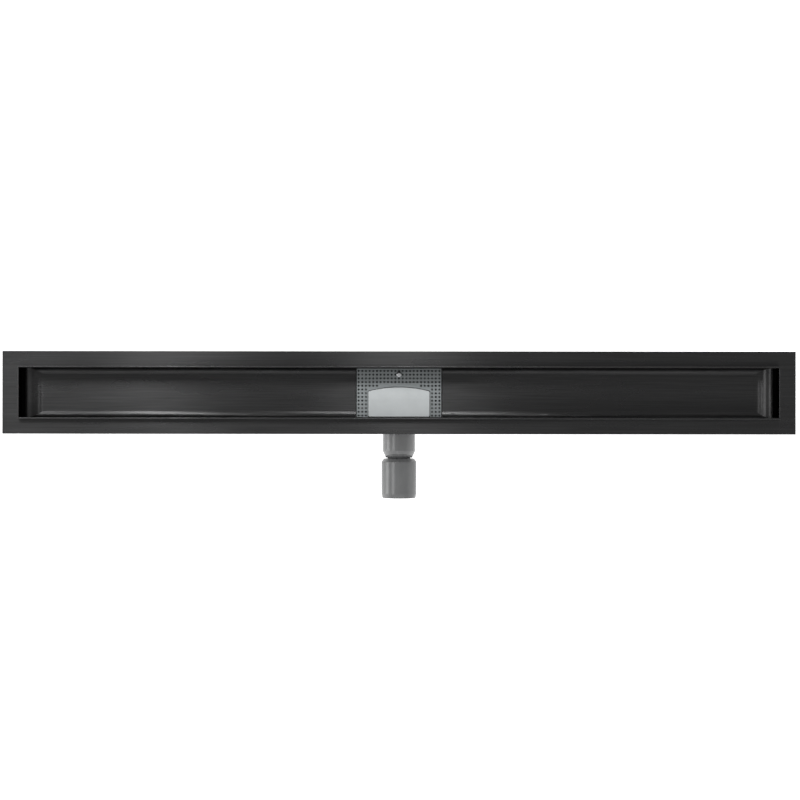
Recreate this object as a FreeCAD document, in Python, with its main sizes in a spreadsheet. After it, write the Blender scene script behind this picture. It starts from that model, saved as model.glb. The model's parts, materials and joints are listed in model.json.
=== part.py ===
import FreeCAD, Part
import math
import os

import Sketcher

# A shower channel drain with a tiling flange, a perforated strainer over a central well, and a
# trap with a DN50 outlet on a ball joint. Millimetres. +X runs along the channel, the outlet
# leaves towards -Y, +Z is up, and the origin is the middle of the trap's flat underside.

DRIVING_SIZES = [
    # channel sheet
    ("flange_length", 1100.0), ("flange_width", 115.0), ("opening_length", 1050.0),
    ("opening_width", 69.0), ("sheet", 1.5), ("rim_height", 9.0), ("rim_wall", 2.2),
    ("rim_round", 0.9), ("flange_round", 0.5),
    ("flange_level", 105.0), ("floor_depth", 29.5), ("fall_angle", 0.7), ("end_radius", 27.0),
    ("side_radius", 8.5), ("well_length", 121.4), ("well_depth", 45.0), ("well_corner", 3.0),
    ("drain_end_inset", 10.7), ("drain_side_inset", 10.5), ("drain_corner", 4.0),
    # strainer plate and the pegs and knob on it
    ("strainer_gap_ends", 1.4), ("strainer_gap_sides", 0.5), ("strainer_sheet", 1.2),
    ("strainer_drop", 0.5), ("strainer_corner", 0.6), ("hole_radius", 1.5),
    ("end_margin", 2.54), ("back_margin", 3.3), ("front_margin", 2.06),
    ("columns", 23), ("full_rows", 4), ("shoulder_columns", 6), ("side_columns", 3),
    ("side_rows", 8), ("peg_radius", 2.5), ("peg_fit", 0.05), ("knob_radius", 3.75),
    ("knob_height", 5.0), ("knob_dome", 1.6), ("knob_nut_height", 2.4), ("knob_nut_flats", 5.5),
    # cleaning cap
    ("cap_end_inset", 17.7), ("cap_front_gap", 0.8), ("cap_back", 7.7), ("cap_arch", 168.0),
    ("cap_plate", 5.0), ("cap_rise", 2.0), ("cap_corner", 2.0), ("cap_edge", 0.8),
    ("cap_window_gap", 0.8), ("skirt_inset", 6.0), ("skirt_front_inset", 14.5),
    ("skirt_wall", 2.2), ("skirt_depth", 14.0), ("skirt_clearance", 0.4), ("skirt_lip", 2.5),
    ("cap_seal_height", 3.0), ("cap_seal_depth", 1.6), ("collar_wall", 2.0),
    # seal, clamp frame and screws
    ("gasket", 2.0), ("gasket_margin", 1.2), ("frame", 3.0), ("frame_gap", 0.6),
    ("screw_radius", 2.0), ("screw_fit", 0.15), ("screw_head_radius", 3.6),
    ("screw_head_height", 1.6), ("screw_length", 15.0), ("screw_end_inset", 5.95),
    ("screw_end_y", 12.0), ("screw_side_x", 30.0), ("screw_side_inset", 5.75),
    ("insert_radius", 3.0), ("insert_length", 8.0), ("boss_wall", 1.5), ("boss_floor", 2.0),
    # trap
    ("trap_end_reach", 3.3), ("trap_front_reach", 13.5), ("trap_back_reach", 7.5),
    ("trap_wall", 2.5), ("trap_roof", 4.0), ("trap_round", 2.0), ("trap_base", 2.5),
    ("trap_corner", 6.0),
    ("dip_wall_front", 5.0),
    ("dip_wall", 2.0), ("dip_level", 12.0), ("weir_front", 12.0), ("weir_wall", 2.0),
    ("weir_level", 44.0), ("inlet_margin", 1.0),
    # outlet
    ("outlet_level", 30.0), ("ball_reach", 32.0), ("ball_radius", 21.0), ("ball_gap", 0.3),
    ("socket_radius", 23.15), ("socket_straight", 2.7), ("socket_round", 3.0),
    ("mouth_reach", 12.4),
    ("mouth_radius", 19.0), ("mouth_slant", 15.0), ("ball_back", 12.0), ("neck_radius", 16.1),
    ("neck_bore", 13.6), ("ball_flare", 1.8), ("ball_flare_length", 3.6), ("neck_reach", 26.0),
    ("shoulder_reach", 13.8),
    ("shoulder_radius", 21.5), ("shoulder_length", 4.3), ("spigot_round", 1.0),
    ("spigot_radius", 25.0),
    ("spigot_wall", 2.2), ("spigot_back", 3.0), ("spigot_length", 56.1), ("hub_wall", 2.2),
    ("lead_length", 6.0), ("lead_depth", 1.2), ("seal_length", 3.5), ("seal_lip", 4.0),
    ("seal_overlap", 1.0), ("seal_tip", 0.6),
    ("retainer_length", 5.0), ("retainer_wall", 4.3),
    # levelling feet
    ("foot_end_inset", 150.0), ("foot_reach", 11.5), ("bracket_width", 24.0),
    ("bracket_sheet", 2.0),
    ("bracket_level", 38.0), ("bracket_bend", 3.0), ("bracket_edge", 9.5),
    ("bracket_top_gap", 3.5), ("stud_radius", 4.0), ("stud_fit", 0.05), ("stud_gap", 0.3),
    ("stud_chamfer", 0.8), ("nut_flats", 13.0), ("nut_height", 6.5), ("pad_radius", 10.5),
    ("pad_edge", 4.0), ("pad_shoulder", 2.0), ("pad_hub_radius", 7.0), ("pad_hub_height", 14.0),
    ("pad_floor", 3.0),
]

doc = FreeCAD.newDocument("channel_drain")
sheet = doc.addObject("Spreadsheet::Sheet", "sizes")
NODES = []
CUT_PAST = 1.0  # how far a cutting form goes beyond the face that it cuts
HEXAGON_SIDES = 6
HEXAGON_HALF_ANGLE = 30


class Size:
    """A size that carries its number and the sheet expression that it is worked out from."""

    def __init__(self, number, text):
        self.number = float(number)
        self.text = text

    def __add__(self, other):
        other = as_size(other)
        return Size(self.number + other.number, f"({self.text} + {other.text})")

    def __radd__(self, other):
        return as_size(other) + self

    def __sub__(self, other):
        other = as_size(other)
        return Size(self.number - other.number, f"({self.text} - {other.text})")

    def __rsub__(self, other):
        return as_size(other) - self

    def __mul__(self, other):
        other = as_size(other)
        return Size(self.number * other.number, f"({self.text} * {other.text})")

    def __rmul__(self, other):
        return as_size(other) * self

    def __truediv__(self, other):
        other = as_size(other)
        return Size(self.number / other.number, f"({self.text} / {other.text})")

    def __neg__(self):
        return Size(-self.number, f"(0 - {self.text})")


def as_size(value):
    return value if isinstance(value, Size) else Size(value, f"{value}")


def root(size):
    return Size(math.sqrt(size.number), f"sqrt({size.text})")


def sine(angle):
    return Size(math.sin(math.radians(angle.number)), f"sin({angle.text})")


def cosine(angle):
    return Size(math.cos(math.radians(angle.number)), f"cos({angle.text})")


def tangent(angle):
    return Size(math.tan(math.radians(angle.number)), f"tan({angle.text})")


class Sheet:
    """The driving sizes by name."""


S = Sheet()
for row, (alias, number) in enumerate(DRIVING_SIZES, start=1):
    sheet.set(f"A{row}", alias)
    sheet.set(f"B{row}", f"{number}")
    sheet.setAlias(f"B{row}", alias)
    setattr(S, alias, Size(number, f"sizes.{alias}"))
doc.recompute()


# ---------------------------------------------------------------- document helpers

def bind(item, path, value):
    """Tie a property to the sheet expression of a size."""
    item.setExpression(path, as_size(value).text)


def new_body(label):
    """A body that is a piece by itself."""
    return keep(doc.addObject("PartDesign::Body", label), label)


def keep(item, label):
    item.Label = label
    NODES.append(item)
    return item


def new_sketch(body, name, plane, level=0, shift_x=0, shift_y=0):
    """A sketch on one of the body's own origin planes, moved along its normal and in it."""
    support = [item for item in body.Origin.OriginFeatures if item.Role == plane][0]
    sketch = body.newObject("Sketcher::SketchObject", name)
    sketch.AttachmentSupport = [(support, "")]
    sketch.MapMode = "FlatFace"
    bind(sketch, "AttachmentOffset.Base.x", shift_x)
    bind(sketch, "AttachmentOffset.Base.y", shift_y)
    bind(sketch, "AttachmentOffset.Base.z", level)
    return sketch


def dimension(sketch, kind, size, *place):
    """A dimension in the sketch, tied to the sheet."""
    size = as_size(size)
    index = sketch.addConstraint(Sketcher.Constraint(kind, *place, size.number))
    sketch.setExpression(f"Constraints[{index}]", size.text)


def outline(sketch, corners, arcs=None):
    """A closed loop through the corners. arcs maps an edge's index to (radius, centre)."""
    arcs = arcs or {}
    spots = [FreeCAD.Vector(as_size(x).number, as_size(y).number, 0) for x, y in corners]
    ends = []
    for index, start in enumerate(spots):
        finish = spots[(index + 1) % len(spots)]
        if index not in arcs:
            edge = sketch.addGeometry(Part.LineSegment(start, finish), False)
            ends.append((edge, 1, 2))
            continue
        radius, (centre_x, centre_y) = arcs[index]
        centre = FreeCAD.Vector(as_size(centre_x).number, as_size(centre_y).number, 0)
        first = math.atan2(start.y - centre.y, start.x - centre.x)
        last = math.atan2(finish.y - centre.y, finish.x - centre.x)
        circle = Part.Circle(centre, FreeCAD.Vector(0, 0, 1), as_size(radius).number)
        if (last - first) % (2 * math.pi) < math.pi:
            edge = sketch.addGeometry(Part.ArcOfCircle(circle, first, last), False)
            ends.append((edge, 1, 2))
        else:
            edge = sketch.addGeometry(Part.ArcOfCircle(circle, last, first), False)
            ends.append((edge, 2, 1))
    for index, (edge, begin, _) in enumerate(ends):
        before, _, finish = ends[index - 1]
        sketch.addConstraint(Sketcher.Constraint("Coincident", before, finish, edge, begin))
    for index, (edge, begin, _) in enumerate(ends):
        dimension(sketch, "DistanceX", corners[index][0], -1, 1, edge, begin)
        dimension(sketch, "DistanceY", corners[index][1], -1, 1, edge, begin)
        if index in arcs:
            dimension(sketch, "Radius", arcs[index][0], edge)
    return sketch


def rectangle(sketch, left, right, front, back, corner=None):
    """A rectangle, with rounded corners if a corner radius is given."""
    if corner is None:
        return outline(sketch, [(left, front), (right, front), (right, back), (left, back)])
    corners = [
        (left + corner, front), (right - corner, front), (right, front + corner),
        (right, back - corner), (right - corner, back), (left + corner, back),
        (left, back - corner), (left, front + corner),
    ]
    arcs = {
        1: (corner, (right - corner, front + corner)),
        3: (corner, (right - corner, back - corner)),
        5: (corner, (left + corner, back - corner)),
        7: (corner, (left + corner, front + corner)),
    }
    return outline(sketch, corners, arcs)


def disc(sketch, x, y, radius):
    centre = FreeCAD.Vector(as_size(x).number, as_size(y).number, 0)
    circle = Part.Circle(centre, FreeCAD.Vector(0, 0, 1), as_size(radius).number)
    edge = sketch.addGeometry(circle, False)
    dimension(sketch, "DistanceX", x, -1, 1, edge, 3)
    dimension(sketch, "DistanceY", y, -1, 1, edge, 3)
    dimension(sketch, "Radius", radius, edge)


def extrude(body, kind, name, sketch, length, symmetric=False, reverse=False):
    feature = body.newObject(f"PartDesign::{kind}", name)
    feature.Profile = sketch
    feature.SideType = "Symmetric" if symmetric else "One side"
    feature.Reversed = reverse
    bind(feature, "Length", length)
    before = feature.BaseFeature.Shape.Volume if feature.BaseFeature else 0.0
    doc.recompute()
    change = feature.Shape.Volume - before
    if (kind == "Pad") != (change > 0):
        raise RuntimeError(f"{body.Label}.{name} changed the volume by {change:.1f}")
    return feature


def pad(body, name, sketch, length, **options):
    return extrude(body, "Pad", name, sketch, length, **options)


def pocket(body, name, sketch, length, **options):
    """Cut down from the sketch, or up from it with reverse=True."""
    return extrude(body, "Pocket", name, sketch, length, **options)


def spin(body, kind, name, sketch, axis):
    """Turn a profile right round one of its sketch's axes."""
    feature = body.newObject(f"PartDesign::{kind}", name)
    feature.Profile = sketch
    feature.ReferenceAxis = (sketch, [axis])
    feature.Angle = 360
    before = feature.BaseFeature.Shape.Volume if feature.BaseFeature else 0.0
    doc.recompute()
    change = feature.Shape.Volume - before
    if (kind == "Revolution") != (change > 0):
        raise RuntimeError(f"{body.Label}.{name} changed the volume by {change:.1f}")
    return feature


def edges_where(body, wanted):
    """The names of the edges of the body's tip that a test picks out."""
    edges = body.Tip.Shape.Edges
    return [f"Edge{number}" for number, edge in enumerate(edges, start=1) if wanted(edge)]


def soften(body, kind, name, path, size, wanted):
    """A fillet or chamfer on the picked edges."""
    doc.recompute()
    base = body.Tip
    names = edges_where(body, wanted)
    feature = body.newObject(f"PartDesign::{kind}", name)
    feature.Base = (base, names)
    bind(feature, path, size)
    doc.recompute()
    return feature


def is_ring(edge, y, radius):
    """Whether an edge is a whole circle round the outlet's axis."""
    return (
        near(edge.BoundBox.YLength, 0)
        and near(edge.BoundBox.YMin, y)
        and near(edge.BoundBox.XLength, 2 * radius)
    )


def near(value, target, slack=0.02):
    return abs(value - as_size(target).number) < slack


def block(name, half_x, half_y, low, high):
    """A box about the drain's middle, from one level up to another."""
    item = doc.addObject("Part::Box", name)
    bind(item, "Length", 2 * half_x)
    bind(item, "Width", 2 * half_y)
    bind(item, "Height", high - low)
    place(item, -half_x, -half_y, low)
    return item


def cylinder(name, radius, height, x=0, y=0, z=0):
    item = doc.addObject("Part::Cylinder", name)
    bind(item, "Radius", radius)
    bind(item, "Height", height)
    place(item, x, y, z)
    return item


def cone(name, lower_radius, upper_radius, height, x=0, y=0, z=0):
    item = doc.addObject("Part::Cone", name)
    bind(item, "Radius1", lower_radius)
    bind(item, "Radius2", upper_radius)
    bind(item, "Height", height)
    place(item, x, y, z)
    return item


def prism(name, flats, height, x=0, y=0, z=0):
    """A hexagonal bar, given across its flats."""
    item = doc.addObject("Part::Prism", name)
    item.Polygon = HEXAGON_SIDES
    bind(item, "Circumradius", flats / 2 / cosine(as_size(HEXAGON_HALF_ANGLE)))
    bind(item, "Height", height)
    place(item, x, y, z)
    return item


def place(item, x, y, z):
    bind(item, "Placement.Base.x", x)
    bind(item, "Placement.Base.y", y)
    bind(item, "Placement.Base.z", z)


def cut(name, base, tool):
    item = doc.addObject("Part::Cut", name)
    item.Base = base
    item.Tool = tool
    item.Refine = True
    return item


def fuse(name, pieces):
    item = doc.addObject("Part::MultiFuse", name)
    item.Shapes = pieces
    item.Refine = True
    return item


def group(label, pieces):
    """Identical fasteners as one node of separate solids."""
    item = doc.addObject("Part::Compound", label)
    item.Links = pieces
    return keep(item, label)


# ---------------------------------------------------------------- levels and outlines

floor_level = S.flange_level - S.floor_depth
well_floor = S.flange_level - S.well_depth
well_under = well_floor - S.sheet
roof_top = well_under - S.gasket
roof_under = roof_top - S.trap_roof
frame_top = well_floor + S.frame
strainer_top = floor_level - S.strainer_drop
strainer_under = strainer_top - S.strainer_sheet
cap_top = strainer_top + S.cap_rise
collar_top = cap_top - S.cap_plate
flange_under = S.flange_level - S.sheet
half_opening = S.opening_width / 2
half_well = S.well_length / 2
half_drain_x = half_well - S.drain_end_inset
half_drain_y = half_opening - S.drain_side_inset
half_cap = half_well - S.cap_end_inset
cap_front = S.cap_front_gap - half_opening
screw_end_x = half_well - S.screw_end_inset
screw_side_y = half_opening - S.screw_side_inset
screw_spots = [
    (side * screw_end_x, end * S.screw_end_y) for side in (-1, 1) for end in (-1, 1)
] + [
    (side * S.screw_side_x, end * screw_side_y) for side in (-1, 1) for end in (-1, 1)
]


class TroughLine:
    """The line of the trough's floor and end bend, seen from the front and grown outwards."""

    def __init__(self, grow):
        slope = tangent(S.fall_angle)
        self.radius = S.end_radius + grow
        self.centre_x = S.opening_length / 2 - S.end_radius
        rise = (self.centre_x + S.end_radius * sine(S.fall_angle) - half_well) * slope
        self.centre_z = floor_level + S.end_radius * cosine(S.fall_angle) + rise
        self.touch_x = self.centre_x + self.radius * sine(S.fall_angle)
        self.touch_z = self.centre_z - self.radius * cosine(S.fall_angle)
        self.low = self.touch_z - (self.touch_x - half_well) * slope
        self.far_x = S.opening_length / 2 + S.rim_wall
        self.far_z = self.low + (self.far_x - half_well) * slope


def make_trough_form(name, grow, top):
    """The trough as a solid form: what its side view and its rounded section share."""
    line = TroughLine(grow)
    half_width = half_opening + grow
    height = line.centre_z - top
    top_x = line.centre_x + root(line.radius * line.radius - height * height)
    side = doc.addObject("PartDesign::Body", f"{name}_side")
    sketch = new_sketch(side, "side_sketch", "XZ_Plane")
    outline(sketch, [
        (-top_x, top), (-line.touch_x, line.touch_z), (-half_well, line.low),
        (half_well, line.low), (line.touch_x, line.touch_z), (top_x, top),
    ], {
        0: (line.radius, (-line.centre_x, line.centre_z)),
        4: (line.radius, (line.centre_x, line.centre_z)),
    })
    pad(side, "side", sketch, 2 * half_width, symmetric=True)

    section = doc.addObject("PartDesign::Body", f"{name}_section")
    stations = [
        (-line.far_x, line.far_z), (-half_well, line.low), (half_well, line.low),
        (line.far_x, line.far_z),
    ]
    rings = []
    bend = S.side_radius + grow
    for number, (x, low) in enumerate(stations, start=1):
        ring = new_sketch(section, f"section_sketch_{number}", "YZ_Plane", x)
        outline(ring, [
            (-half_width, top), (-half_width, low + bend), (bend - half_width, low),
            (half_width - bend, low), (half_width, low + bend), (half_width, top),
        ], {
            1: (bend, (bend - half_width, low + bend)),
            3: (bend, (half_width - bend, low + bend)),
        })
        rings.append(ring)
    doc.recompute()
    run = section.newObject("PartDesign::AdditiveLoft", "run")
    run.Profile = rings[0]
    run.Sections = rings[1:]
    run.Ruled = True

    form = doc.addObject("Part::Common", name)
    form.Base = side
    form.Tool = section
    return form


def cap_outline(sketch, inset, front):
    """The cap's D: a straight front, two sides and a shallow arch at the back."""
    radius = S.cap_arch - inset
    centre_y = S.cap_back - S.cap_arch
    half = half_cap - inset
    shoulder = centre_y + root(radius * radius - half * half)
    corners = [(-half, front), (half, front), (half, shoulder), (-half, shoulder)]
    return outline(sketch, corners, {2: (radius, (0, centre_y))})


def drain_rectangle(sketch):
    return rectangle(
        sketch, -half_drain_x, half_drain_x, -half_drain_y, half_drain_y, S.drain_corner,
    )


# ---------------------------------------------------------------- channel

def make_channel():
    """Flange, raised rim, pressed trough and well: one formed and welded sheet part."""
    rim_top = S.flange_level + S.rim_height
    half_length = S.opening_length / 2
    outside = fuse("channel_outside", [
        make_trough_form("trough_outside", S.sheet, flange_under),
        block("flange_block", S.flange_length / 2, S.flange_width / 2, flange_under,
              S.flange_level),
        block("rim_block", half_length + S.rim_wall, half_opening + S.rim_wall, flange_under,
              rim_top),
        block("well_block", half_well + S.sheet, half_opening + S.sheet, well_under,
              floor_level + S.side_radius + S.sheet),
    ])
    drain = doc.addObject("PartDesign::Body", "drain_hole")
    drain_sketch = new_sketch(drain, "drain_sketch", "XY_Plane", well_under)
    drain_rectangle(drain_sketch)
    pad(drain, "drain", drain_sketch, S.well_depth)
    holes = [
        cylinder(f"screw_hole_{number}", S.screw_radius + S.screw_fit, S.well_depth, x, y,
                 well_under)
        for number, (x, y) in enumerate(screw_spots, start=1)
    ]
    hollow = fuse("channel_hollow", [
        make_trough_form("trough_hollow", as_size(0), S.flange_level),
        block("mouth_hollow", half_length, half_opening, S.flange_level, rim_top),
        block("well_hollow", half_well, half_opening, well_floor, S.flange_level),
        drain, *holes,
    ])
    doc.recompute()

    body = new_body("channel_body")
    body.BaseFeature = cut("channel_cut", outside, hollow)
    soften(
        body, "Fillet", "rim_edges", "Radius", S.rim_round,
        lambda edge: near(edge.BoundBox.ZMin, rim_top) and near(edge.BoundBox.ZMax, rim_top),
    )
    soften(
        body, "Fillet", "flange_edges", "Radius", S.flange_round,
        lambda edge: near(edge.BoundBox.ZMin, S.flange_level)
        and near(edge.BoundBox.ZMax, S.flange_level)
        and (near(abs(edge.CenterOfMass.x), S.flange_length / 2)
             or near(abs(edge.CenterOfMass.y), S.flange_width / 2)),
    )


# ---------------------------------------------------------------- strainer

strainer_half_length = half_well - S.strainer_gap_ends
strainer_half_width = half_opening - S.strainer_gap_sides
last_row = S.full_rows + S.side_rows
column_pitch = 2 * (strainer_half_length - S.end_margin) / (S.columns - 1)
row_pitch = (2 * strainer_half_width - S.back_margin - S.front_margin) / last_row


def hole_x(column):
    return (column - (S.columns - 1) / 2) * column_pitch


def hole_y(row):
    return strainer_half_width - S.back_margin - row * row_pitch


def make_strainer():
    """A perforated plate whose two legs pass either side of the cleaning cap."""
    body = new_body("strainer_plate")
    sketch = new_sketch(body, "plate_sketch", "XY_Plane", strainer_under)
    radius = S.cap_arch + S.cap_window_gap
    centre_y = S.cap_back - S.cap_arch
    window = half_cap + S.cap_window_gap
    shoulder = centre_y + root(radius * radius - window * window)
    corners = [
        (-strainer_half_length, -strainer_half_width), (-window, -strainer_half_width),
        (-window, shoulder), (window, shoulder), (window, -strainer_half_width),
        (strainer_half_length, -strainer_half_width),
        (strainer_half_length, strainer_half_width),
        (-strainer_half_length, strainer_half_width),
    ]
    outline(sketch, corners, {2: (radius, (0, centre_y))})
    pad(body, "plate", sketch, S.strainer_sheet)
    soften(
        body, "Fillet", "plate_corners", "Radius", S.strainer_corner,
        lambda edge: near(abs(edge.CenterOfMass.x), strainer_half_length)
        and near(edge.BoundBox.ZLength, S.strainer_sheet),
    )
    right_leg = S.columns - S.side_columns
    blocks = [
        ("back_rows", as_size(0), as_size(0), S.columns, S.full_rows),
        ("left_shoulder", as_size(0), S.full_rows, S.shoulder_columns, as_size(1)),
        ("right_shoulder", S.columns - S.shoulder_columns, S.full_rows,
         S.shoulder_columns, as_size(1)),
        ("left_leg", as_size(0), S.full_rows + 1, S.side_columns, S.side_rows),
        ("right_leg", right_leg, S.full_rows + 1, S.side_columns, S.side_rows),
    ]
    for name, column, row, across, down in blocks:
        hole_block(body, name, column, row, across, down)
    return body


def hole_block(body, name, column, row, across, down):
    """One hole, repeated over a grid of columns and rows."""
    sketch = new_sketch(body, f"{name}_hole", "XY_Plane", strainer_top)
    disc(sketch, hole_x(column), hole_y(row), S.hole_radius)
    first = pocket(body, f"{name}_first", sketch, S.strainer_sheet)
    pattern = body.newObject("PartDesign::LinearPattern", name)
    pattern.Originals = [first]
    pattern.Direction = (sketch, ["H_Axis"])
    bind(pattern, "Occurrences", across)
    bind(pattern, "Length", (across - 1) * column_pitch)
    if down.number > 1:
        pattern.Direction2 = (sketch, ["V_Axis"])
        pattern.Reversed2 = True
        bind(pattern, "Occurrences2", down)
        bind(pattern, "Length2", (down - 1) * row_pitch)
    body.Tip = pattern
    doc.recompute()


def make_pegs():
    """Plastic pegs pressed into four holes: the plate stands on the clamp frame with them."""
    pegs = []
    for name, row in (("back", as_size(1)), ("front", last_row - 2)):
        for side, column in (("left", as_size(1)), ("right", S.columns - 2)):
            x = hole_x(column)
            y = hole_y(row)
            foot = cylinder(f"peg_{side}_{name}", S.peg_radius, strainer_under - frame_top,
                            x, y, frame_top)
            shank = cylinder(f"peg_shank_{side}_{name}", S.hole_radius - S.peg_fit,
                             S.strainer_sheet, x, y, strainer_under)
            pegs.append(fuse(f"peg_whole_{side}_{name}", [foot, shank]))
    group("strainer_feet", pegs)


def make_knob():
    """A turned lifting knob with its shank through the middle hole of the second row."""
    body = new_body("strainer_knob")
    knob_y = hole_y(as_size(1))
    sketch = new_sketch(body, "knob_sketch", "XZ_Plane", -knob_y)
    shank = S.hole_radius - S.peg_fit
    waist = S.knob_radius - S.knob_dome
    top = strainer_top + S.knob_height
    bottom = strainer_under - S.knob_nut_height - S.strainer_sheet
    corners = [
        (0, bottom), (shank, bottom), (shank, strainer_top), (S.knob_radius, strainer_top),
        (S.knob_radius, top - S.knob_dome), (waist, top), (0, top),
    ]
    outline(sketch, corners, {4: (S.knob_dome, (waist, top - S.knob_dome))})
    spin(body, "Revolution", "knob", sketch, "V_Axis")

    nut = prism("knob_nut_bar", S.knob_nut_flats, S.knob_nut_height, 0, knob_y,
                strainer_under - S.knob_nut_height)
    bore = cylinder("knob_nut_bore", shank, S.knob_nut_height, 0, knob_y,
                    strainer_under - S.knob_nut_height)
    keep(cut("knob_nut", nut, bore), "knob_nut")


# ---------------------------------------------------------------- cleaning cap

collar_inset = S.skirt_inset - S.skirt_clearance
skirt_front = cap_front + S.skirt_front_inset
seal_low = collar_top - S.skirt_depth + S.skirt_lip


def make_cap():
    """A hollow D-shaped plug: its plate rests on the collar, its skirt carries a seal ring."""
    body = new_body("cleaning_cap")
    skirt_bottom = collar_top - S.skirt_depth
    skirt = new_sketch(body, "skirt_sketch", "XY_Plane", skirt_bottom)
    cap_outline(skirt, S.skirt_inset, skirt_front)
    pad(body, "skirt", skirt, S.skirt_depth)
    plate = new_sketch(body, "plate_sketch", "XY_Plane", collar_top)
    cap_outline(plate, as_size(0), cap_front)
    pad(body, "plate", plate, S.cap_plate)
    soften(
        body, "Fillet", "plate_corners", "Radius", S.cap_corner,
        lambda edge: near(abs(edge.CenterOfMass.x), half_cap)
        and near(edge.BoundBox.ZLength, S.cap_plate),
    )
    soften(
        body, "Fillet", "plate_edge", "Radius", S.cap_edge,
        lambda edge: near(edge.BoundBox.ZMin, cap_top) and near(edge.BoundBox.ZMax, cap_top),
    )
    groove = new_sketch(body, "groove_sketch", "XY_Plane", seal_low)
    cap_outline(groove, S.skirt_inset - CUT_PAST, skirt_front - CUT_PAST)
    cap_outline(groove, S.skirt_inset + S.cap_seal_depth, skirt_front + S.cap_seal_depth)
    pocket(body, "seal_groove", groove, S.cap_seal_height, reverse=True)
    hollow = new_sketch(body, "hollow_sketch", "XY_Plane", skirt_bottom)
    wall = S.cap_seal_depth + S.skirt_wall
    cap_outline(hollow, S.skirt_inset + wall, skirt_front + wall)
    pocket(body, "hollow", hollow, S.skirt_depth, reverse=True)


def make_cap_seal():
    body = new_body("cap_seal")
    ring = new_sketch(body, "ring_sketch", "XY_Plane", seal_low)
    cap_outline(ring, collar_inset, skirt_front - S.skirt_clearance)
    cap_outline(ring, S.skirt_inset + S.cap_seal_depth, skirt_front + S.cap_seal_depth)
    pad(body, "ring", ring, S.cap_seal_height)


# ---------------------------------------------------------------- clamping

def make_gasket():
    body = new_body("well_gasket")
    sketch = new_sketch(body, "gasket_sketch", "XY_Plane", roof_top)
    half_x = half_well + S.sheet - S.gasket_margin
    half_y = half_opening + S.sheet - S.gasket_margin
    rectangle(sketch, -half_x, half_x, -half_y, half_y, S.well_corner)
    drain_rectangle(sketch)
    for x, y in screw_spots:
        disc(sketch, x, y, S.screw_radius + S.screw_fit)
    pad(body, "gasket", sketch, S.gasket)


def make_frame():
    """The frame inside the well, countersunk for eight screws."""
    body = new_body("clamp_frame")
    sketch = new_sketch(body, "frame_sketch", "XY_Plane", well_floor)
    half_x = half_well - S.frame_gap
    half_y = half_opening - S.frame_gap
    rectangle(sketch, -half_x, half_x, -half_y, half_y, S.well_corner)
    drain_rectangle(sketch)
    for x, y in screw_spots:
        disc(sketch, x, y, S.screw_radius + S.screw_fit)
    pad(body, "frame", sketch, S.frame)
    soften(
        body, "Chamfer", "countersinks", "Size", S.screw_head_height + S.screw_fit,
        lambda edge: near(edge.BoundBox.ZMin, frame_top)
        and near(edge.Length, 2 * math.pi * (S.screw_radius + S.screw_fit), slack=0.1),
    )


def make_screws():
    screws = []
    inserts = []
    insert_low = roof_top - S.insert_length
    for number, (x, y) in enumerate(screw_spots, start=1):
        shank = cylinder(f"screw_shank_{number}", S.screw_radius, S.screw_length, x, y,
                         frame_top - S.screw_length)
        head = cone(f"screw_head_{number}", S.screw_radius, S.screw_head_radius,
                    S.screw_head_height, x, y, frame_top - S.screw_head_height)
        screws.append(fuse(f"screw_{number}", [shank, head]))
        sleeve = cylinder(f"insert_sleeve_{number}", S.insert_radius, S.insert_length, x, y,
                          insert_low)
        bore = cylinder(f"insert_bore_{number}", S.screw_radius, S.insert_length, x, y,
                        insert_low)
        inserts.append(cut(f"insert_{number}", sleeve, bore))
    group("clamp_screws", screws)
    group("clamp_inserts", inserts)


# ---------------------------------------------------------------- trap

trap_half = half_well + S.trap_end_reach
trap_front = -(half_opening + S.trap_front_reach)
trap_back = half_opening + S.trap_back_reach
ball_y = trap_front - S.ball_reach
bore_radius = S.ball_radius + S.ball_gap


def pipe_sketch(body, name):
    """A sketch in the plane of the outlet's axis: local x is Y, local y is the radius."""
    return new_sketch(body, name, "YZ_Plane", 0, 0, S.outlet_level)


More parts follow.
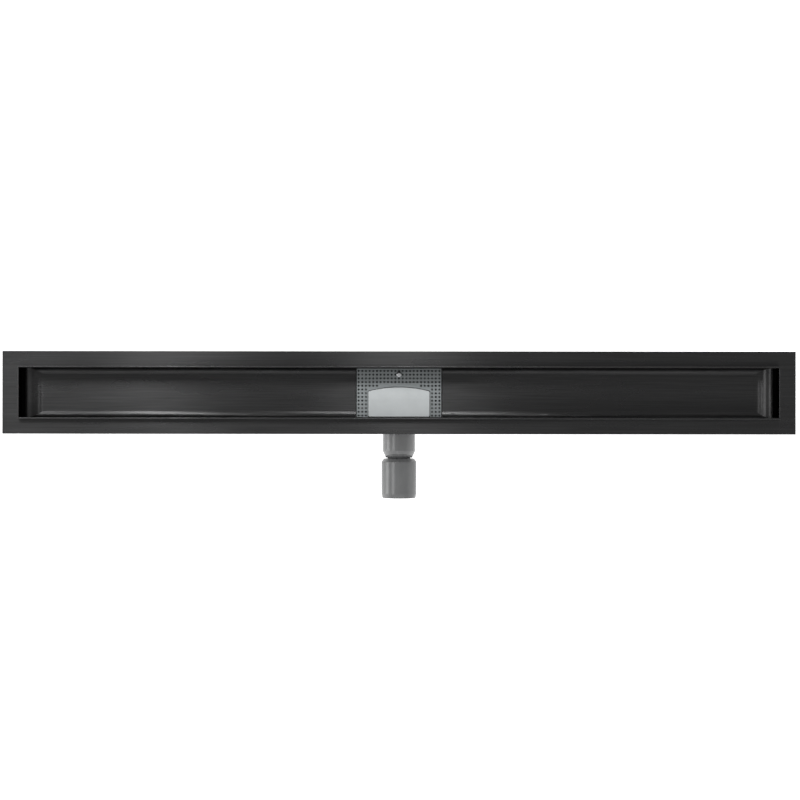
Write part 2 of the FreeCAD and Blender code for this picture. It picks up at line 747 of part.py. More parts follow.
def make_trap():
    """The moulded housing: walls, roof, dip wall, cap collar, screw bosses, ball socket."""
    body = new_body("trap_housing")
    outer = new_sketch(body, "outside_sketch", "XY_Plane", S.trap_base)
    rectangle(outer, -trap_half, trap_half, trap_front, trap_back, S.trap_corner)
    pad(body, "outside", outer, roof_top - S.trap_base)
    soften(
        body, "Fillet", "roof_edges", "Radius", S.trap_round,
        lambda edge: near(edge.BoundBox.ZMin, roof_top),
    )
    inner = new_sketch(body, "inside_sketch", "XY_Plane", S.trap_base)
    rectangle(inner, -trap_half + S.trap_wall, trap_half - S.trap_wall,
              trap_front + S.trap_wall, trap_back - S.trap_wall,
              S.trap_corner - S.trap_wall)
    pocket(body, "inside", inner, roof_under - S.trap_base, reverse=True)

    dip = new_sketch(body, "dip_sketch", "XY_Plane", S.dip_level)
    rectangle(dip, -trap_half + S.trap_wall / 2, trap_half - S.trap_wall / 2,
              S.dip_wall_front, S.dip_wall_front + S.dip_wall)
    pad(body, "dip_wall", dip, roof_under - S.dip_level + S.trap_roof / 2)

    collar = new_sketch(body, "collar_sketch", "XY_Plane", roof_under)
    collar_front = skirt_front - S.skirt_clearance
    cap_outline(collar, collar_inset - S.collar_wall, collar_front - S.collar_wall)
    pad(body, "collar", collar, collar_top - roof_under)
    collar_hole = new_sketch(body, "collar_hole_sketch", "XY_Plane", roof_under)
    cap_outline(collar_hole, collar_inset, collar_front)
    pocket(body, "collar_hole", collar_hole, collar_top - roof_under, reverse=True)

    inlet = new_sketch(body, "inlet_sketch", "XY_Plane", roof_under)
    rectangle(inlet, -half_drain_x, half_drain_x, S.dip_wall_front + S.dip_wall,
              half_drain_y - S.inlet_margin)
    pocket(body, "inlet", inlet, S.trap_roof, reverse=True)

    boss_depth = S.screw_length - S.frame - S.sheet - S.gasket + S.boss_floor
    boss_low = roof_top - boss_depth
    bosses = new_sketch(body, "boss_sketch", "XY_Plane", boss_low)
    sleeves = new_sketch(body, "insert_sketch", "XY_Plane", roof_top)
    shanks = new_sketch(body, "shank_sketch", "XY_Plane", roof_top)
    for x, y in screw_spots:
        disc(bosses, x, y, S.insert_radius + S.boss_wall)
        disc(sleeves, x, y, S.insert_radius)
        disc(shanks, x, y, S.screw_radius + S.screw_fit)
    pad(body, "bosses", bosses, roof_under - boss_low + S.trap_roof / 2)
    pocket(body, "insert_holes", sleeves, S.insert_length)
    pocket(body, "screw_holes", shanks, boss_depth - S.boss_floor / 2)

    socket = pipe_sketch(body, "socket_sketch")
    mouth = ball_y - S.mouth_reach
    wall_middle = trap_front + S.trap_wall / 2
    outline(socket, [
        (wall_middle, 0), (wall_middle, S.socket_radius),
        (ball_y - S.socket_straight, S.socket_radius), (mouth, S.mouth_radius), (mouth, 0),
    ])
    spin(body, "Revolution", "socket", socket, "H_Axis")
    soften(
        body, "Fillet", "socket_shoulder", "Radius", S.socket_round,
        lambda edge: is_ring(edge, ball_y - S.socket_straight, S.socket_radius),
    )
    seat = pipe_sketch(body, "seat_sketch")
    lip = root(bore_radius * bore_radius - S.mouth_reach * S.mouth_reach)
    inside_wall = trap_front + S.trap_wall
    outline(seat, [
        (inside_wall, 0), (inside_wall, bore_radius), (ball_y, bore_radius), (mouth, lip),
        (mouth, 0),
    ], {2: (bore_radius, (ball_y, 0))})
    spin(body, "Groove", "seat", seat, "H_Axis")
    slant = pipe_sketch(body, "slant_sketch")
    setback = S.socket_radius * tangent(S.mouth_slant)
    outline(slant, [
        (mouth, 0), (mouth + setback, S.socket_radius),
        (mouth - CUT_PAST, S.socket_radius), (mouth - CUT_PAST, 0),
    ])
    pocket(body, "mouth_slant", slant, 2 * S.socket_radius, symmetric=True)


def make_base():
    """The base plate with the weir, welded under the housing."""
    body = new_body("trap_base")
    plate = new_sketch(body, "plate_sketch", "XY_Plane")
    rectangle(plate, -trap_half, trap_half, trap_front, trap_back, S.trap_corner)
    pad(body, "plate", plate, S.trap_base)
    weir = new_sketch(body, "weir_sketch", "XY_Plane", S.trap_base)
    rectangle(weir, -trap_half + S.trap_wall, trap_half - S.trap_wall, -S.weir_front,
              -S.weir_front + S.weir_wall)
    pad(body, "weir", weir, S.weir_level - S.trap_base)


# ---------------------------------------------------------------- outlet

def make_ball():
    """The ball, turned in one with the neck that passes through the socket's mouth."""
    body = new_body("outlet_ball")
    sketch = pipe_sketch(body, "ball_sketch")
    back = ball_y + S.ball_back
    back_radius = root(S.ball_radius * S.ball_radius - S.ball_back * S.ball_back)
    neck_start = ball_y - root(S.ball_radius * S.ball_radius - S.neck_radius * S.neck_radius)
    neck_end = ball_y - S.neck_reach
    outline(sketch, [
        (back, S.neck_bore + S.ball_flare), (back, back_radius), (neck_start, S.neck_radius),
        (neck_end, S.neck_radius), (neck_end, S.neck_bore),
        (back - S.ball_flare_length, S.neck_bore),
    ], {1: (S.ball_radius, (ball_y, 0))})
    spin(body, "Revolution", "ball", sketch, "H_Axis")


def make_spigot():
    """The DN50 spigot: a chamfered shoulder, a hub bonded on the neck, and a lead-in."""
    body = new_body("outlet_spigot")
    sketch = pipe_sketch(body, "spigot_sketch")
    rear = ball_y - S.shoulder_reach
    tip = rear - S.spigot_length
    inner = S.spigot_radius - S.spigot_wall
    outline(sketch, [
        (rear, S.neck_radius), (rear, S.shoulder_radius),
        (rear - S.shoulder_length, S.spigot_radius),
        (tip + S.lead_length, S.spigot_radius), (tip, S.spigot_radius - S.lead_depth),
        (tip, inner), (rear - S.shoulder_length - S.spigot_wall / 2, inner),
        (rear - S.spigot_back, inner - S.spigot_wall),
        (rear - S.spigot_back, S.neck_radius + S.hub_wall),
        (ball_y - S.neck_reach, S.neck_radius + S.hub_wall),
        (ball_y - S.neck_reach, S.neck_radius),
    ])
    spin(body, "Revolution", "spigot", sketch, "H_Axis")
    soften(
        body, "Fillet", "spigot_edges", "Radius", S.spigot_round,
        lambda edge: is_ring(edge, rear, S.shoulder_radius)
        or is_ring(edge, rear - S.shoulder_length, S.spigot_radius)
        or is_ring(edge, tip + S.lead_length, S.spigot_radius),
    )


def make_ball_ring():
    """The seal behind the ball and the threaded ring that presses it up."""
    reach = S.ball_back - S.seal_overlap
    seal_front = ball_y + reach
    seal_back = seal_front + S.seal_length
    lip = root(bore_radius * bore_radius - reach * reach)
    seal = new_body("ball_seal")
    sketch = pipe_sketch(seal, "seal_sketch")
    outline(sketch, [
        (seal_front, lip), (seal_front, bore_radius), (seal_back, bore_radius),
        (seal_back, bore_radius - S.seal_lip),
        (seal_front + S.seal_overlap, lip - S.seal_tip),
    ])
    spin(seal, "Revolution", "ring", sketch, "H_Axis")
    retainer = new_body("ball_retainer")
    ring = pipe_sketch(retainer, "retainer_sketch")
    rectangle(ring, seal_back, seal_back + S.retainer_length, bore_radius - S.retainer_wall,
              bore_radius)
    spin(retainer, "Revolution", "ring", ring, "H_Axis")


# ---------------------------------------------------------------- levelling feet

def make_foot(place_name, side_x, side_y):
    """One foot: bracket on the trough's wall, lock nut, threaded stud and plastic pad."""
    reach = half_opening + S.foot_reach
    x = side_x * (S.flange_length / 2 - S.foot_end_inset)
    y = side_y * reach
    bracket = new_body(f"foot_bracket_{place_name}")
    sketch = new_sketch(bracket, "bracket_sketch", "YZ_Plane", x)
    wall = half_opening + S.sheet
    top = flange_under - S.bracket_top_gap
    low = S.bracket_level
    thick = S.bracket_sheet
    bend = S.bracket_bend
    far = reach + S.bracket_edge
    corners = [
        (side_y * wall, top), (side_y * wall, low + thick + bend),
        (side_y * (wall + thick + bend), low), (side_y * far, low),
        (side_y * far, low + thick), (side_y * (wall + thick + bend), low + thick),
        (side_y * (wall + thick), low + thick + bend), (side_y * (wall + thick), top),
    ]
    bend_centre = (side_y * (wall + thick + bend), low + thick + bend)
    outline(sketch, corners, {1: (bend + thick, bend_centre), 5: (bend, bend_centre)})
    pad(bracket, "bracket", sketch, S.bracket_width, symmetric=True)
    hole = new_sketch(bracket, "hole_sketch", "XY_Plane", low + thick)
    disc(hole, x, y, S.stud_radius + S.stud_fit)
    pocket(bracket, "hole", hole, thick)

    stud_low = S.pad_floor
    stud_top = flange_under - S.stud_gap
    stud = new_body(f"foot_stud_{place_name}")
    profile = new_sketch(stud, "stud_sketch", "XZ_Plane", -y, x)
    outline(profile, [
        (0, stud_low), (S.stud_radius, stud_low), (S.stud_radius, stud_top - S.stud_chamfer),
        (S.stud_radius - S.stud_chamfer, stud_top), (0, stud_top),
    ])
    spin(stud, "Revolution", "stud", profile, "V_Axis")

    foot = new_body(f"foot_pad_{place_name}")
    profile = new_sketch(foot, "pad_sketch", "XZ_Plane", -y, x)
    outline(profile, [
        (0, 0), (S.pad_radius, 0), (S.pad_radius, S.pad_edge),
        (S.pad_hub_radius, S.pad_edge + S.pad_shoulder), (S.pad_hub_radius, S.pad_hub_height),
        (S.stud_radius, S.pad_hub_height), (S.stud_radius, S.pad_floor), (0, S.pad_floor),
    ])
    spin(foot, "Revolution", "pad", profile, "V_Axis")

    nut_low = low - S.nut_height
    bar = prism(f"nut_bar_{place_name}", S.nut_flats, S.nut_height, x, y, nut_low)
    bore = cylinder(f"nut_bore_{place_name}", S.stud_radius + S.stud_fit, S.nut_height, x, y,
                    nut_low)
    keep(cut(f"foot_nut_{place_name}", bar, bore), f"foot_nut_{place_name}")


# ---------------------------------------------------------------- build, check and write

make_channel()
make_strainer()
make_pegs()
make_knob()
make_cap()
make_cap_seal()
make_gasket()
make_frame()
make_screws()
make_trap()
make_base()
make_ball()
make_spigot()
make_ball_ring()
for x_name, x_side in (("left", -1), ("right", 1)):
    for y_name, y_side in (("front", -1), ("back", 1)):
        make_foot(f"{x_name}_{y_name}", x_side, y_side)
doc.recompute()

for item in doc.Objects:
    if "Invalid" in item.State or "Error" in item.State:
        raise RuntimeError(f"{item.Label} is {item.State}")
for node in NODES:
    if node.Shape.isNull() or not node.Shape.isValid() or not node.Shape.Solids:
        raise RuntimeError(f"{node.Label} has no valid shape")

os.makedirs("parts", exist_ok=True)
for node in NODES:
    node.Shape.exportStep(f"parts/{node.Label}.step")
    box = node.Shape.BoundBox
    print(f"{node.Label}: {len(node.Shape.Solids)} solid, {node.Shape.Volume:.0f} mm3, "
          f"z {box.ZMin:.2f} to {box.ZMax:.2f}")
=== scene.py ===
import json
import math

import bpy
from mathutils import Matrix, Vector


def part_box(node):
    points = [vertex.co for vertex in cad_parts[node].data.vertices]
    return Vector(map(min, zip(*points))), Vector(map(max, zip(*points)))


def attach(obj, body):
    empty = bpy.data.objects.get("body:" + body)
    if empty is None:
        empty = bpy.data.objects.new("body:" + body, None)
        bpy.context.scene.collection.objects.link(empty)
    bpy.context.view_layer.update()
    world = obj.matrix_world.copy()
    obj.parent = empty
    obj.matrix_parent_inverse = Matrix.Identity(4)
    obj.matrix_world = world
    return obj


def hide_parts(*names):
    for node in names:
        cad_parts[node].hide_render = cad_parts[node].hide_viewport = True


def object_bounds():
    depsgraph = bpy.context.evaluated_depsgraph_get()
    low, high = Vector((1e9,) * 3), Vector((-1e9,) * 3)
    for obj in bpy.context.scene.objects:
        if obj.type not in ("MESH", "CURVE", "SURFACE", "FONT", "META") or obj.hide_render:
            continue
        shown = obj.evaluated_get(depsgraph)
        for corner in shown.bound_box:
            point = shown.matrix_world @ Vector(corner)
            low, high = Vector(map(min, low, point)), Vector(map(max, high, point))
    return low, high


# A shower channel drain, seen from straight above. Metres; +X runs along the channel, the
# outlet leaves towards -Y, +Z is up.

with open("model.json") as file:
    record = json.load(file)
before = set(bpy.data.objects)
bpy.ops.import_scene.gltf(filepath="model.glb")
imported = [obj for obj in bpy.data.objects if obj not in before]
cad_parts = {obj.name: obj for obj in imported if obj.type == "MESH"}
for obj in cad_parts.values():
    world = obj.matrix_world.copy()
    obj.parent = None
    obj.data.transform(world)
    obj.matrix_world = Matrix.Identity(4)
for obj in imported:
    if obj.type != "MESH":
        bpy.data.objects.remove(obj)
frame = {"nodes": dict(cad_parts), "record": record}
cad_low, cad_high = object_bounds()

NODES = frame["nodes"]
MM = 0.001

CORNERS = ("left_front", "left_back", "right_front", "right_back")

# How far a foot screws down; the floor is that much lower, so a foot never sinks into it.
FOOT_TRAVEL = 50 * MM

# The rim stands this far above the flange.
RIM_HEIGHT = 9 * MM

# The studs' thread, and how many straight steps one turn of it has.
THREAD_PITCH = 1.25 * MM
THREAD_DEPTH = 0.65 * MM
THREAD_STEPS = 20

# A pad: its upright edge, the slope above it, the rounding of its corners, its turned steps.
PAD_EDGE = 4 * MM
PAD_SLOPE = 2 * MM
PAD_ROUND = 0.6 * MM
PAD_STEPS = 64

# A nut: its play on the stud, the angle its corners are turned down by, and its turned steps.
NUT_PLAY = 0.05 * MM
NUT_CHAMFER = math.radians(30)
NUT_STEPS = 48

# A hexagon's corners are twice this far apart, seen from its middle.
HALF_CORNER_ANGLE = math.radians(30)

# Points of a shell that are closer than this are one point.
WELD = 0.005 * MM

# Noise lies mostly between these two values.
NOISE_LOW = 0.3
NOISE_HIGH = 0.7

FLOOR_SIZE = 12
FLOOR_GLOW = 0.7

# How bright the room is, by the height of a direction above the horizon, as its sine.
WALL_TOP = 0.2
CEILING_START = 0.62
WALL_LIGHT = 1.3
CEILING_LIGHT = 0.5

# Boxes behind the drain: name, place along the drain, width, how bright the face is.
BACK_BOXES = (
    ("back_box_far", -1.04, 0.18, 17.0),
    ("back_box_left", -0.64, 0.18, 29.0),
    ("back_box_middle", 0.01, 0.2, 23.0),
)
BACK_BOX_BEHIND = 1.3
BACK_BOX_ABOVE = 1.85
BACK_BOX_HEIGHT = 0.7

# The bank in front: its place from the drain's middle, width, height, how bright the face is.
FRONT_BANK_PLACE = (0.1, -1.5, 1.75)
FRONT_BANK_WIDTH = 2.6
FRONT_BANK_HEIGHT = 0.6
FRONT_BANK_LIGHT = 1.8

# Strips on the left: name, lean from straight up in degrees, width, how bright the face is.
STRIPS = (
    ("high_strip", 40, 0.6, 3.0),
    ("low_strip", 84, 0.75, 3.0),
)
STRIP_DISTANCE = 2.2
STRIP_LENGTH = 1.6

# The camera: lens and sensor in mm, height over the flange, shift from the drain's middle, roll.
CAMERA_LENS = 74.35
CAMERA_SENSOR = 36.0
CAMERA_HEIGHT = 2.29
CAMERA_SHIFT_X = 1.4 * MM
CAMERA_SHIFT_Y = -10.1 * MM
CAMERA_ROLL = math.radians(0.065)


# ---------------------------------------------------------------- materials

class Finish:
    """A material being put together: its nodes, its links and its shader."""

    def __init__(self, name):
        self.material = bpy.data.materials.new(name)
        self.material.use_nodes = True
        self.tree = self.material.node_tree
        self.shader = self.tree.nodes["Principled BSDF"]
        place = self.tree.nodes.new("ShaderNodeTexCoord")
        self.place = place.outputs["Object"]

    def set(self, **values):
        """Shader values by name, with _ for a space: they are the same all over the piece."""
        for name, value in values.items():
            self.shader.inputs[name.replace("_", " ")].default_value = value

    def node(self, kind, **inputs):
        """A new shader node with these inputs set."""
        made = self.tree.nodes.new(kind)
        for name, value in inputs.items():
            made.inputs[name.replace("_", " ")].default_value = value
        return made

    def link(self, source, target):
        self.tree.links.new(source, target)

    def noise(self, scale, detail=3.0, stretch=(1, 1, 1)):
        """Noise on the piece's own coordinates, squeezed by stretch."""
        mapping = self.node("ShaderNodeMapping", Scale=stretch)
        self.link(self.place, mapping.inputs["Vector"])
        noise = self.node("ShaderNodeTexNoise", Scale=scale, Detail=detail, Roughness=0.55)
        self.link(mapping.outputs["Vector"], noise.inputs["Vector"])
        return noise.outputs["Fac"]

    def spread(self, source, low, high):
        """Noise turned into a value from low to high."""
        ramp = self.node("ShaderNodeMapRange", From_Min=NOISE_LOW, From_Max=NOISE_HIGH,
                         To_Min=low, To_Max=high)
        self.link(source, ramp.inputs["Value"])
        return ramp.outputs["Result"]

    def colours(self, source, dark, light):
        """Noise turned into a colour from dark to light."""
        ramp = self.node("ShaderNodeValToRGB")
        ramp.color_ramp.elements[0].position = NOISE_LOW
        ramp.color_ramp.elements[0].color = (*dark, 1)
        ramp.color_ramp.elements[1].position = NOISE_HIGH
        ramp.color_ramp.elements[1].color = (*light, 1)
        self.link(source, ramp.inputs["Fac"])
        return ramp.outputs["Color"]

    def bump(self, source, depth):
        """Relief of that depth in metres."""
        bump = self.node("ShaderNodeBump", Strength=1.0, Distance=depth)
        self.link(source, bump.inputs["Height"])
        self.link(bump.outputs["Normal"], self.shader.inputs["Normal"])

    def drawn_along(self, direction):
        """Highlights stretch across the brushing, which runs in this direction."""
        surface = self.node("ShaderNodeNewGeometry")
        across = self.node("ShaderNodeVectorMath")
        across.operation = "CROSS_PRODUCT"
        across.inputs[1].default_value = direction
        self.link(surface.outputs["Normal"], across.inputs[0])
        self.link(across.outputs["Vector"], self.shader.inputs["Tangent"])


def brushed_metal(name, dark, light, roughness, streaks, anisotropy, depth, glance=1.0):
    """Metal brushed along X: fine streaks, a coarser cloud over them, and faint relief.

    glance is how much of its edge-on shine it keeps: a dark coating takes some away.
    """
    finish = Finish(name)
    finish.set(Metallic=1.0, Anisotropic=anisotropy)
    finish.shader.inputs["Specular Tint"].default_value = (glance, glance, glance, 1)
    fine = finish.noise(streaks, detail=4.0, stretch=(0.012, 1, 1))
    cloud = finish.noise(9.0, detail=2.0, stretch=(1, 3, 3))
    finish.link(finish.colours(fine, dark, light), finish.shader.inputs["Base Color"])
    finish.link(finish.spread(cloud, roughness - 0.03, roughness + 0.03),
                finish.shader.inputs["Roughness"])
    finish.bump(fine, depth)
    # Lifted a little off X, so that walls which face along X still have a brushing direction.
    finish.drawn_along((1.0, 0.0, 0.3))
    return finish.material


def moulded_plastic(name, dark, light, roughness, grain, depth):
    """Moulded plastic: a faint cloud in its colour, spark-eroded grain in its surface."""
    finish = Finish(name)
    finish.set(Specular_IOR_Level=0.5)
    cloud = finish.noise(60.0, detail=3.0)
    skin = finish.noise(grain, detail=2.0)
    finish.link(finish.colours(cloud, dark, light), finish.shader.inputs["Base Color"])
    finish.link(finish.spread(skin, roughness - 0.04, roughness + 0.04),
                finish.shader.inputs["Roughness"])
    finish.bump(skin, depth)
    return finish.material


def turned_metal(name, dark, light, roughness, grain, depth):
    """Plated or turned metal: small blotches and a fine even grain."""
    finish = Finish(name)
    finish.set(Metallic=1.0)
    blotch = finish.noise(180.0, detail=4.0)
    skin = finish.noise(grain, detail=2.0)
    finish.link(finish.colours(blotch, dark, light), finish.shader.inputs["Base Color"])
    finish.link(finish.spread(blotch, roughness - 0.06, roughness + 0.06),
                finish.shader.inputs["Roughness"])
    finish.bump(skin, depth)
    return finish.material


def soft_rubber(name, dark, light):
    """Matt seal rubber with a bloom on it."""
    finish = Finish(name)
    finish.set(Specular_IOR_Level=0.3)
    bloom = finish.noise(220.0, detail=4.0)
    finish.link(finish.colours(bloom, dark, light), finish.shader.inputs["Base Color"])
    finish.link(finish.spread(bloom, 0.62, 0.8), finish.shader.inputs["Roughness"])
    finish.bump(bloom, 0.00004)
    return finish.material


def make_finishes():
    """One finish for every slot of the record, and the plain plastic for ball and spigot: the
    trap plastic is painted lighter than it, as painted light against the shade the flange casts
    on the housing.
    """
    return {
        "black_steel": brushed_metal(
            "black_brushed_steel", (0.038, 0.038, 0.0385), (0.053, 0.053, 0.0535),
            roughness=0.285, streaks=900.0, anisotropy=0.95, depth=0.000003, glance=0.25),
        "strainer_steel": brushed_metal(
            "strainer_steel", (0.235, 0.254, 0.258), (0.295, 0.314, 0.318),
            roughness=0.4, streaks=2600.0, anisotropy=0.6, depth=0.000004, glance=0.5),
        "bright_steel": turned_metal(
            "bright_steel", (0.50, 0.51, 0.52), (0.62, 0.63, 0.64),
            roughness=0.27, grain=3000.0, depth=0.000006),
        "screw_steel": turned_metal(
            "blackened_steel", (0.05, 0.05, 0.052), (0.08, 0.08, 0.082),
            roughness=0.5, grain=2500.0, depth=0.000006),
        "peg_plastic": moulded_plastic(
            "peg_plastic", (0.055, 0.056, 0.058), (0.075, 0.076, 0.078),
            roughness=0.5, grain=2500.0, depth=0.00001),
        "cap_plastic": moulded_plastic(
            "cap_plastic", (0.49, 0.515, 0.52), (0.53, 0.555, 0.56),
            roughness=0.42, grain=2200.0, depth=0.000012),
        # Painted light: the same grey plastic as the spigot, made lighter here to make up for the
        # shade the flange casts on the housing.
        "trap_plastic": moulded_plastic(
            "trap_plastic", (0.178, 0.18, 0.181), (0.19, 0.192, 0.193),
            roughness=0.22, grain=1500.0, depth=0.000012),
        "spigot_plastic": moulded_plastic(
            "spigot_plastic", (0.108, 0.11, 0.111), (0.118, 0.12, 0.121),
            roughness=0.22, grain=1500.0, depth=0.000012),
        "seal_rubber": soft_rubber("seal_rubber", (0.018, 0.018, 0.019), (0.04, 0.04, 0.041)),
        "insert_brass": turned_metal(
            "insert_brass", (0.62, 0.45, 0.18), (0.74, 0.56, 0.26),
            roughness=0.3, grain=2500.0, depth=0.000006),
        "bracket_steel": brushed_metal(
            "bracket_steel", (0.28, 0.283, 0.286), (0.36, 0.363, 0.366),
            roughness=0.42, streaks=1500.0, anisotropy=0.4, depth=0.000006),
        "zinc_steel": turned_metal(
            "zinc_steel", (0.36, 0.37, 0.39), (0.48, 0.49, 0.51),
            roughness=0.33, grain=1800.0, depth=0.000008),
        "pad_plastic": moulded_plastic(
            "pad_plastic", (0.03, 0.03, 0.031), (0.045, 0.045, 0.046),
            roughness=0.5, grain=1800.0, depth=0.00002),
    }


def dress_nodes(finishes):
    """Every CAD node takes its slot's finish; spigot and ball take the plain plastic, since the
    trap plastic is painted lighter against the flange's shade.
    """
    for entry in frame["record"]["subparts"]:
        mesh = NODES[entry["node"]].data
        mesh.materials.clear()
        mesh.materials.append(finishes[entry["material_slot"]])
    for name in ("outlet_spigot", "outlet_ball"):
        NODES[name].data.materials[0] = finishes["spigot_plastic"]


# ---------------------------------------------------------------- pieces


def deselect():
    """Nothing is picked, so the next operator sees only its own piece."""
    for item in bpy.context.selected_objects:
        item.select_set(False)


def start_point(name, place):
    """A new piece that is one point, left open in edit mode."""
    deselect()
    bpy.ops.mesh.primitive_plane_add(size=MM, location=(0, 0, 0))
    piece = bpy.context.object
    piece.name = name
    bpy.ops.object.mode_set(mode="EDIT")
    bpy.ops.mesh.select_all(action="SELECT")
    bpy.ops.mesh.merge(type="CENTER")
    bpy.ops.transform.translate(value=place)
    return piece


def draw_on(*steps):
    """Carry the line on by these steps."""
    for step in steps:
        bpy.ops.mesh.extrude_region_move(TRANSFORM_OT_translate={"value": step})


def close_shell():
    """Weld the points that meet, and turn every face outward."""
    bpy.ops.mesh.select_all(action="SELECT")
    bpy.ops.mesh.remove_doubles(threshold=WELD)
    bpy.ops.mesh.normals_make_consistent(inside=False)


def finish_piece(piece, node, finish, body, smooth=30):
    """The piece stands for its CAD node and takes that node's place on its body."""
    bpy.ops.object.mode_set(mode="OBJECT")
    bpy.ops.object.shade_smooth_by_angle(angle=math.radians(smooth))
    piece.data.materials.append(finish)
    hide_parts(node)
    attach(piece, body)


def apply_modifiers(piece):
    """Turn the piece's modifiers into plain mesh."""
    bpy.context.view_layer.objects.active = piece
    for modifier in list(piece.modifiers):
        bpy.ops.object.modifier_apply(modifier=modifier.name)


def make_stud(corner, finishes):
    """A threaded stud: its thread is a true helix, cut flat at both ends."""
    node = f"foot_stud_{corner}"
    low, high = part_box(node)
    middle = (low + high) / 2
    core = (high.x - low.x) / 2 - THREAD_DEPTH
    # Two turns to spare; what stands past the ends is cut off below.
    turns = math.ceil((high.z - low.z) / THREAD_PITCH) + 2
    stud = start_point(f"threaded_stud_{corner}", (core, 0, low.z - THREAD_PITCH))
    slope = THREAD_PITCH * 5 / 16
    draw_on((0, 0, THREAD_PITCH / 4), (THREAD_DEPTH, 0, slope), (0, 0, THREAD_PITCH / 8),
            (-THREAD_DEPTH, 0, slope))
    bpy.ops.object.mode_set(mode="OBJECT")
    helix = stud.modifiers.new("helix", "SCREW")
    helix.steps = THREAD_STEPS
    helix.render_steps = THREAD_STEPS
    helix.screw_offset = THREAD_PITCH
    helix.iterations = turns
    helix.use_merge_vertices = True
    helix.merge_threshold = WELD
    apply_modifiers(stud)
    bpy.ops.object.mode_set(mode="EDIT")
    bpy.ops.mesh.select_all(action="SELECT")
    bpy.ops.transform.translate(value=(middle.x, middle.y, 0))
    for level, outward in ((low.z, -1), (high.z, 1)):
        bpy.ops.mesh.select_all(action="SELECT")
        bpy.ops.mesh.bisect(plane_co=(middle.x, middle.y, level), plane_no=(0, 0, outward),
                            use_fill=True, clear_outer=True)
    close_shell()
    finish_piece(stud, node, finishes["zinc_steel"], f"foot_{corner}")


def make_pad(corner, finishes):
    """A moulded foot pad with rounded edges, a hub, and a bore that its stud stands in."""
    node = f"foot_pad_{corner}"
    low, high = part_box(node)
    middle = (low + high) / 2
    edge = (high.x - low.x) / 2
    hub = edge * 2 / 3
    top = high.z - low.z
    stud_low, stud_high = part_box(f"foot_stud_{corner}")
    bore = (stud_high.x - stud_low.x) / 2
    base = stud_low.z - low.z
    pad = start_point(f"moulded_pad_{corner}", (middle.x, middle.y, low.z))
    draw_on((edge, 0, 0), (0, 0, PAD_EDGE), (hub - edge, 0, PAD_SLOPE),
            (0, 0, top - PAD_EDGE - PAD_SLOPE), (bore - hub, 0, 0), (0, 0, base - top),
            (-bore, 0, 0))
    bpy.ops.mesh.select_all(action="SELECT")
    bpy.ops.mesh.bevel(offset=PAD_ROUND, segments=3, affect="VERTICES")
    bpy.ops.mesh.select_all(action="SELECT")
    bpy.ops.mesh.spin(steps=PAD_STEPS, angle=2 * math.pi, center=(middle.x, middle.y, low.z),
                      axis=(0, 0, 1))
    close_shell()
    finish_piece(pad, node, finishes["pad_plastic"], f"foot_{corner}", smooth=50)


def make_hexagon(name, middle, reach, height, corners_along_x):
    """A plain hexagon block; reach is from its middle to a corner."""
    deselect()
    bpy.ops.mesh.primitive_cylinder_add(vertices=6, radius=reach, depth=height,
                                        location=middle, end_fill_type="NGON")
    block = bpy.context.object
    block.name = name
    bpy.ops.object.transform_apply(location=True, rotation=True, scale=True)
    if corners_along_x:
        bpy.ops.object.mode_set(mode="EDIT")
        bpy.ops.mesh.select_all(action="SELECT")
        bpy.ops.transform.rotate(value=HALF_CORNER_ANGLE, orient_axis="Z", center_override=middle)
        bpy.ops.object.mode_set(mode="OBJECT")
    return block


def make_barrel(name, middle, bottom, reach, bore, height):
    """The round form a nut is turned to: bored through, its corners turned down at both faces."""
    barrel = start_point(name, (middle.x + bore, middle.y, bottom))
    drop = (reach - reach * math.cos(HALF_CORNER_ANGLE)) * math.tan(NUT_CHAMFER)
    flat = reach * math.cos(HALF_CORNER_ANGLE) - bore
    draw_on((flat, 0, 0), (reach - flat - bore, 0, drop), (0, 0, height - 2 * drop),
            (bore + flat - reach, 0, drop), (-flat, 0, 0), (0, 0, -height))
    bpy.ops.mesh.select_all(action="SELECT")
    bpy.ops.mesh.spin(steps=NUT_STEPS, angle=2 * math.pi, center=middle, axis=(0, 0, 1))
    close_shell()
    bpy.ops.object.mode_set(mode="OBJECT")
    return barrel


def make_nut(corner, finishes):
    """A lock nut: what a hexagon block and a turned barrel have in common."""
    node = f"foot_nut_{corner}"
    low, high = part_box(node)
    middle = (low + high) / 2
    reach = max(high.x - low.x, high.y - low.y) / 2
    stud_low, stud_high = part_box(f"foot_stud_{corner}")
    bore = (stud_high.x - stud_low.x) / 2 + NUT_PLAY
    height = high.z - low.z
    nut = make_hexagon(f"chamfered_nut_{corner}", middle, reach, height,
                       corners_along_x=high.x - low.x > high.y - low.y)
    barrel = make_barrel(f"nut_barrel_{corner}", middle, low.z, reach, bore, height)
    deselect()
    nut.select_set(True)
    meet = nut.modifiers.new("turned_down", "BOOLEAN")
    meet.operation = "INTERSECT"
    meet.object = barrel
    apply_modifiers(nut)
    bpy.data.objects.remove(barrel)
    bpy.ops.object.mode_set(mode="EDIT")
    close_shell()
    finish_piece(nut, node, finishes["zinc_steel"], "channel")


# ---------------------------------------------------------------- studio

def make_floor():
    """A plain white light table, wide enough for every view."""
    bpy.ops.mesh.primitive_plane_add(size=FLOOR_SIZE, location=(0, 0, cad_low.z - FOOT_TRAVEL))
    floor = bpy.context.object
    floor.name = "floor"
    finish = Finish("white_table")
    finish.set(Roughness=0.9, Emission_Strength=FLOOR_GLOW, Specular_IOR_Level=0.1)
    finish.shader.inputs["Emission Color"].default_value = (1, 1, 1, 1)
    tone = finish.noise(3.0)
    finish.link(finish.colours(tone, (0.9, 0.9, 0.9), (0.92, 0.92, 0.92)),
                finish.shader.inputs["Base Color"])
    floor.data.materials.append(finish.material)


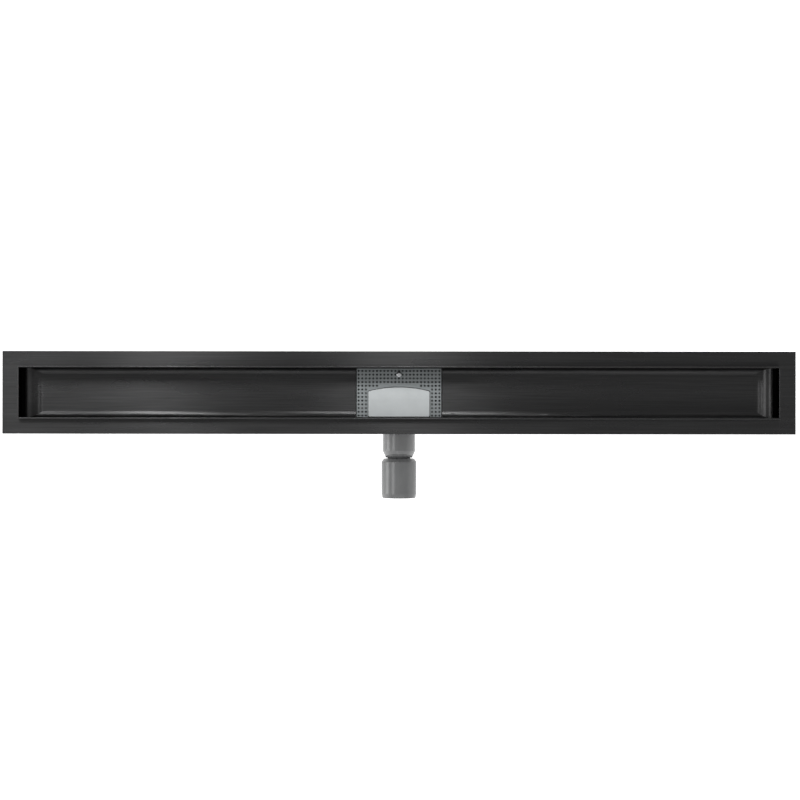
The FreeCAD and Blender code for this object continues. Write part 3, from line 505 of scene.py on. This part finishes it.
def make_room():
    """A white room under a dimmer ceiling: the light comes mostly from the sides."""
    room = bpy.data.worlds.new("studio_room")
    bpy.context.scene.world = room
    room.use_nodes = True
    tree = room.node_tree
    background = tree.nodes["Background"]
    background.inputs["Color"].default_value = (1, 1, 1, 1)
    direction = tree.nodes.new("ShaderNodeTexCoord")
    split = tree.nodes.new("ShaderNodeSeparateXYZ")
    height = tree.nodes.new("ShaderNodeMapRange")
    height.inputs["From Min"].default_value = WALL_TOP
    height.inputs["From Max"].default_value = CEILING_START
    height.inputs["To Min"].default_value = WALL_LIGHT
    height.inputs["To Max"].default_value = CEILING_LIGHT
    tree.links.new(direction.outputs["Generated"], split.inputs["Vector"])
    tree.links.new(split.outputs["Z"], height.inputs["Value"])
    tree.links.new(height.outputs["Result"], background.inputs["Strength"])


def make_softbox(name, place, target, width, height, radiance):
    """An area light that faces its target, given by how bright its face is."""
    light = bpy.data.lights.new(name, "AREA")
    light.shape = "RECTANGLE"
    light.size = width
    light.size_y = height
    light.energy = radiance * math.pi * width * height
    lamp = bpy.data.objects.new(name, light)
    bpy.context.scene.collection.objects.link(lamp)
    lamp.location = place
    lamp.rotation_euler = (Vector(target) - Vector(place)).to_track_quat("-Z", "Y").to_euler()


def make_lights():
    """Three tall boxes behind the drain, a bank in front, and two strips on its left."""
    low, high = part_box("channel_body")
    middle = Vector(((low.x + high.x) / 2, (low.y + high.y) / 2, high.z))
    for name, across, width, radiance in BACK_BOXES:
        make_softbox(name, middle + Vector((across, BACK_BOX_BEHIND, BACK_BOX_ABOVE)),
                     middle + Vector((across, 0, 0)), width, BACK_BOX_HEIGHT, radiance)
    make_softbox("front_bank", middle + Vector(FRONT_BANK_PLACE), middle,
                 FRONT_BANK_WIDTH, FRONT_BANK_HEIGHT, FRONT_BANK_LIGHT)
    for name, degrees, width, radiance in STRIPS:
        lean = math.radians(degrees)
        place = middle + STRIP_DISTANCE * Vector((-math.sin(lean), 0, math.cos(lean)))
        make_softbox(name, place, middle, STRIP_LENGTH, width, radiance)


def make_camera():
    """The camera looks straight down on the drain."""
    low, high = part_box("channel_body")
    camera = bpy.data.cameras.new("camera")
    camera.lens = CAMERA_LENS
    camera.sensor_width = CAMERA_SENSOR
    eye = bpy.data.objects.new("camera", camera)
    bpy.context.scene.collection.objects.link(eye)
    flange_top = high.z - RIM_HEIGHT
    eye.location = ((low.x + high.x) / 2 + CAMERA_SHIFT_X,
                    (low.y + high.y) / 2 + CAMERA_SHIFT_Y,
                    flange_top + CAMERA_HEIGHT)
    eye.rotation_euler = (0, 0, CAMERA_ROLL)
    bpy.context.scene.camera = eye


finishes = make_finishes()
dress_nodes(finishes)
for corner in CORNERS:
    make_stud(corner, finishes)
    make_pad(corner, finishes)
    make_nut(corner, finishes)
make_floor()
make_room()
make_lights()
make_camera()
bpy.context.scene.view_settings.view_transform = "Standard"
